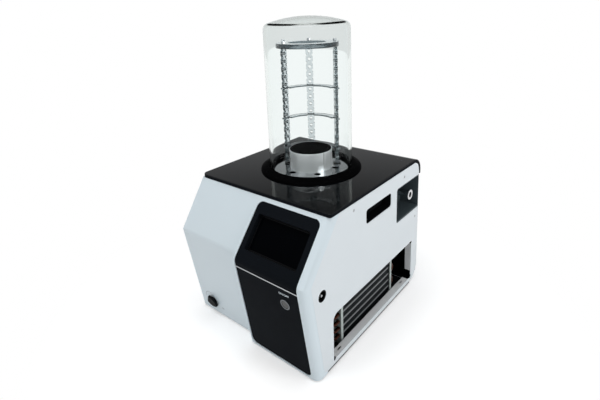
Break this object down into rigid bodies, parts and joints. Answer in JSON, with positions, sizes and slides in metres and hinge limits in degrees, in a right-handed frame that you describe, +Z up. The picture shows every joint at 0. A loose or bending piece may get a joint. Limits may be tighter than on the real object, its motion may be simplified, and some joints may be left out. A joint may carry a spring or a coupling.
{
  "type": "freeze dryer",
  "caption": "Bench-top freeze dryer: sloping cabinet with touch screen, cold trap and condenser, and a clear bell jar over a shelf rack on top.",
  "frame": {"origin": "on the floor under the middle of the cabinet's bounding box", "axes": "+X to the right as the user faces the control panel, +Y to the rear, +Z up"},
  "size_m": [0.44, 0.562, 0.816],
  "materials": {
    "white_sheet": "satin powder coat",
    "white_moulding": "satin",
    "black_cover": "gloss",
    "black_panel": "semi gloss",
    "black_sheet": "satin",
    "matte_black": "matte",
    "grey_plastic": "matte",
    "display_glass": "gloss",
    "rubber": "matte",
    "steel": "brushed",
    "polished_steel": "polished",
    "galvanised": "satin",
    "fin_aluminium": "satin",
    "bright_strip": "satin",
    "copper": "satin",
    "brass": "satin",
    "iron": "black paint",
    "foam": "matte",
    "board": "satin",
    "hose": "satin",
    "clear_jar": "clear",
    "clear_rack": "clear"
  },
  "bodies": {
    "cabinet": {"base_plate": "black_sheet", "rubber_feet": "rubber", "front_fascia": "white_moulding", "side_panel_right": "white_sheet", "window_strips": "galvanised", "side_panel_left": "white_sheet", "rear_panel": "white_sheet", "top_cover": "black_cover", "front_frame": "steel", "rear_frame": "steel", "side_screws": "steel", "carry_cup_right": "matte_black", "carry_cup_left": "matte_black", "upper_control_panel": "black_panel", "trim_strip": "bright_strip", "lower_control_panel": "black_panel", "touch_screen": "display_glass", "screen_bezel": "matte_black", "button_bezel": "polished_steel", "switch_body": "matte_black", "control_board": "board", "drain_valve": "brass", "drain_pipe": "hose", "port_recess": "grey_plastic", "vacuum_port": "polished_steel", "gas_inlet_bush": "matte_black", "gas_inlet_nozzle": "steel", "cold_trap": "steel", "evaporator_coil": "copper", "trap_insulation": "foam", "suction_line": "copper", "discharge_line": "copper", "compressor_shell": "iron", "compressor_base": "black_sheet", "compressor_mounts": "rubber", "condenser_end_plates": "galvanised", "condenser_fins": "fin_aluminium", "condenser_tubes": "copper", "fan_shroud": "matte_black", "fan_motor": "black_sheet", "sealing_ring": "rubber", "baffle_disc": "polished_steel", "draft_tube": "polished_steel", "rack_post_left": "clear_rack", "rack_post_right": "clear_rack", "rack_post_rear": "clear_rack", "shelf_ring_lower": "clear_rack", "shelf_ring_middle": "clear_rack", "shelf_ring_upper": "clear_rack", "rack_top_plate": "clear_rack", "rack_nuts": "polished_steel", "bell_jar": "clear_jar", "power_inlet": "matte_black"},
    "power_button": {"power_button": "polished_steel"},
    "drain_knob": {"drain_knob": "matte_black"},
    "condenser_fan": {"condenser_fan": "matte_black"}
  },
  "joints": [
    {"name": "power_button_push", "type": "slide", "parent": "cabinet", "child": "power_button", "axis": [0, 0.9875, 0.1577], "range_m": [0, 0.0015], "stiffness_N_per_m": 1500},
    {"name": "drain_knob_turn", "type": "hinge", "parent": "cabinet", "child": "drain_knob", "pos_m": [-0.16, -0.22432, 0.045], "axis": [0, -0.9857, -0.1687], "range_deg": [0, 90]},
    {"name": "condenser_fan_spin", "type": "hinge", "parent": "cabinet", "child": "condenser_fan", "pos_m": [0.14, 0.017, 0.08], "axis": [1, 0, 0], "continuous": true}
  ]
}
